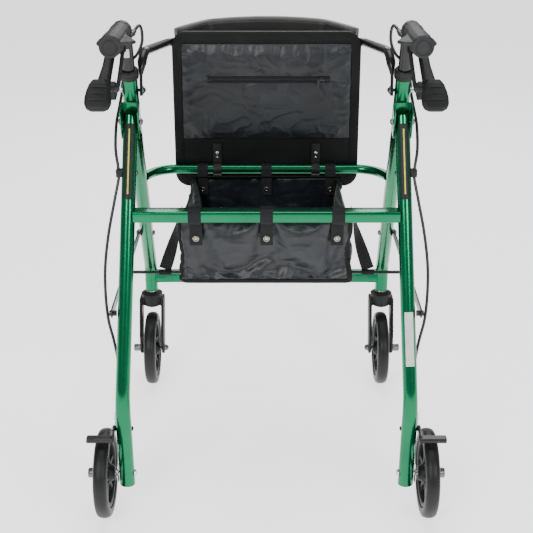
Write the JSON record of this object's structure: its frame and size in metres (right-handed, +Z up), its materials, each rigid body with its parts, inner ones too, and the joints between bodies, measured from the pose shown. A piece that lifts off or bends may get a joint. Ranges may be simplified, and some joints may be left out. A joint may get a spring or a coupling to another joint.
{
  "type": "rollator walker",
  "caption": "Folding wheeled walking frame with flip-up padded seat, bowed backrest, open tote bag, cable brakes and height-adjustable handles.",
  "frame": {"origin": "on the floor, under the middle of the walker's box", "axes": "+Y the way the walker travels, +Z up, +X to the user's right"},
  "size_m": [0.608, 0.631, 0.8275],
  "materials": {
    "green_paint": "gloss metallic green paint",
    "black_paint": "gloss black paint",
    "black_plastic": "moulded, lightly grained",
    "tyre_rubber": "smooth solid tyre",
    "dark_steel": "blackened caps over bright steel",
    "bag_nylon": "coated woven nylon, crinkled",
    "seat_vinyl": "grained black vinyl",
    "cable_sheath": "smooth black sheath"
  },
  "bodies": {
    "front_frame": {"front_leg_left": "green_paint", "front_leg_right": "green_paint", "pivot_bracket_left": "green_paint", "pivot_bracket_right": "green_paint", "pivot_bolt_left": "black_paint", "pivot_bolt_right": "black_paint", "brace_bolt_left": "black_paint", "brace_bolt_right": "black_paint", "lower_crossbar": "green_paint", "seat_hoop": "green_paint", "height_collar_left": "black_plastic", "height_collar_right": "black_plastic", "backrest_tube": "black_paint", "backrest_band": "seat_vinyl", "tote_bag": "bag_nylon", "brake_cable_left": "cable_sheath", "brake_cable_right": "cable_sheath"},
    "rear_frame": {"rear_leg_left": "green_paint", "rear_leg_right": "green_paint", "rear_beam": "green_paint", "rear_axle_left": "dark_steel", "rear_axle_right": "dark_steel", "cable_clip_left": "black_plastic", "cable_clip_right": "black_plastic"},
    "brace_front": {"cross_rod": "black_paint", "front_link_left": "black_paint", "front_link_right": "black_paint", "pull_strap_left": "bag_nylon", "pull_strap_right": "bag_nylon"},
    "brace_rear": {"rear_link_left": "black_paint", "rear_link_right": "black_paint"},
    "seat": {"seat_board": "seat_vinyl", "seat_pad": "seat_vinyl", "seat_pouch": "bag_nylon", "seat_clip_left": "black_plastic", "seat_clip_right": "black_plastic"},
    "handle_left": {"handle_tube_left": "black_paint", "grip_left": "black_plastic", "brake_clamp_left": "black_plastic"},
    "brake_lever_left": {"brake_lever_left": "black_plastic"},
    "height_knob_left": {"height_knob_left": "black_plastic"},
    "caster_left": {"caster_fork_left": "black_plastic", "caster_axle_left": "dark_steel"},
    "caster_wheel_left": {"caster_tyre_left": "tyre_rubber", "caster_rim_left": "black_plastic"},
    "rear_wheel_left": {"rear_tyre_left": "tyre_rubber", "rear_rim_left": "black_plastic"},
    "brake_arm_left": {"brake_arm_left": "black_paint"},
    "handle_right": {"handle_tube_right": "black_paint", "grip_right": "black_plastic", "brake_clamp_right": "black_plastic"},
    "brake_lever_right": {"brake_lever_right": "black_plastic"},
    "height_knob_right": {"height_knob_right": "black_plastic"},
    "caster_right": {"caster_fork_right": "black_plastic", "caster_axle_right": "dark_steel"},
    "caster_wheel_right": {"caster_tyre_right": "tyre_rubber", "caster_rim_right": "black_plastic"},
    "rear_wheel_right": {"rear_tyre_right": "tyre_rubber", "rear_rim_right": "black_plastic"},
    "brake_arm_right": {"brake_arm_right": "black_paint"}
  },
  "joints": [
    {"name": "fold", "type": "hinge", "parent": "front_frame", "child": "rear_frame", "pos_m": [0, -0.097, 0.652], "axis": [1, 0, 0], "range_deg": [0, 28], "deforming": ["tote_bag", "brake_cable_left", "brake_cable_right", "pull_strap_left", "pull_strap_right"]},
    {"name": "front_link_fold", "type": "hinge", "parent": "front_frame", "child": "brace_front", "pos_m": [0, 0.1749, 0.359], "axis": [1, 0, 0], "range_deg": [-46, 1]},
    {"name": "rear_link_fold", "type": "hinge", "parent": "brace_front", "child": "brace_rear", "pos_m": [0, -0.0291, 0.359], "axis": [1, 0, 0], "range_deg": [-1, 108]},
    {"name": "seat_flip", "type": "hinge", "parent": "front_frame", "child": "seat", "pos_m": [0, 0.0926, 0.514], "axis": [-1, 0, 0], "range_deg": [-91, 0]},
    {"name": "handle_height_left", "type": "slide", "parent": "front_frame", "child": "handle_left", "axis": [0, -0.326, 0.9454], "range_m": [0, 0.06], "deforming": ["brake_cable_left"]},
    {"name": "brake_squeeze_left", "type": "hinge", "parent": "handle_left", "child": "brake_lever_left", "pos_m": [-0.239, -0.157, 0.781], "axis": [-1, 0, 0], "range_deg": [0, 15], "stiffness_Nm_per_rad": 0.5},
    {"name": "knob_turn_left", "type": "hinge", "parent": "front_frame", "child": "height_knob_left", "pos_m": [-0.251, -0.08071, 0.7], "axis": [1, 0, 0], "range_deg": [0, 360]},
    {"name": "caster_swivel_left", "type": "hinge", "parent": "front_frame", "child": "caster_left", "pos_m": [-0.2405, 0.267, 0.2], "axis": [0, 0, 1], "continuous": true},
    {"name": "caster_spin_left", "type": "hinge", "parent": "caster_left", "child": "caster_wheel_left", "pos_m": [-0.2405, 0.2395, 0.076], "axis": [1, 0, 0], "continuous": true},
    {"name": "rear_spin_left", "type": "hinge", "parent": "rear_frame", "child": "rear_wheel_left", "pos_m": [-0.274, -0.2395, 0.076], "axis": [1, 0, 0], "continuous": true},
    {"name": "brake_press_left", "type": "hinge", "parent": "rear_frame", "child": "brake_arm_left", "pos_m": [-0.2535, -0.247, 0.167], "axis": [1, 0, 0], "range_deg": [0, 4.5]},
    {"name": "handle_height_right", "type": "slide", "parent": "front_frame", "child": "handle_right", "axis": [0, -0.326, 0.9454], "range_m": [0, 0.06], "deforming": ["brake_cable_right"]},
    {"name": "brake_squeeze_right", "type": "hinge", "parent": "handle_right", "child": "brake_lever_right", "pos_m": [0.239, -0.157, 0.781], "axis": [-1, 0, 0], "range_deg": [0, 15], "stiffness_Nm_per_rad": 0.5},
    {"name": "knob_turn_right", "type": "hinge", "parent": "front_frame", "child": "height_knob_right", "pos_m": [0.251, -0.08071, 0.7], "axis": [1, 0, 0], "range_deg": [0, 360]},
    {"name": "caster_swivel_right", "type": "hinge", "parent": "front_frame", "child": "caster_right", "pos_m": [0.2405, 0.267, 0.2], "axis": [0, 0, 1], "continuous": true},
    {"name": "caster_spin_right", "type": "hinge", "parent": "caster_right", "child": "caster_wheel_right", "pos_m": [0.2405, 0.2395, 0.076], "axis": [1, 0, 0], "continuous": true},
    {"name": "rear_spin_right", "type": "hinge", "parent": "rear_frame", "child": "rear_wheel_right", "pos_m": [0.274, -0.2395, 0.076], "axis": [1, 0, 0], "continuous": true},
    {"name": "brake_press_right", "type": "hinge", "parent": "rear_frame", "child": "brake_arm_right", "pos_m": [0.2535, -0.247, 0.167], "axis": [1, 0, 0], "range_deg": [0, 4.5]}
  ],
  "couplings": [
    {"joint": "front_link_fold", "follows": "fold", "ratio": -1.5436},
    {"joint": "rear_link_fold", "follows": "fold", "ratio": 3.7783},
    {"joint": "brake_press_left", "follows": "brake_squeeze_left", "ratio": 0.2667},
    {"joint": "brake_press_right", "follows": "brake_squeeze_right", "ratio": 0.2667}
  ]
}
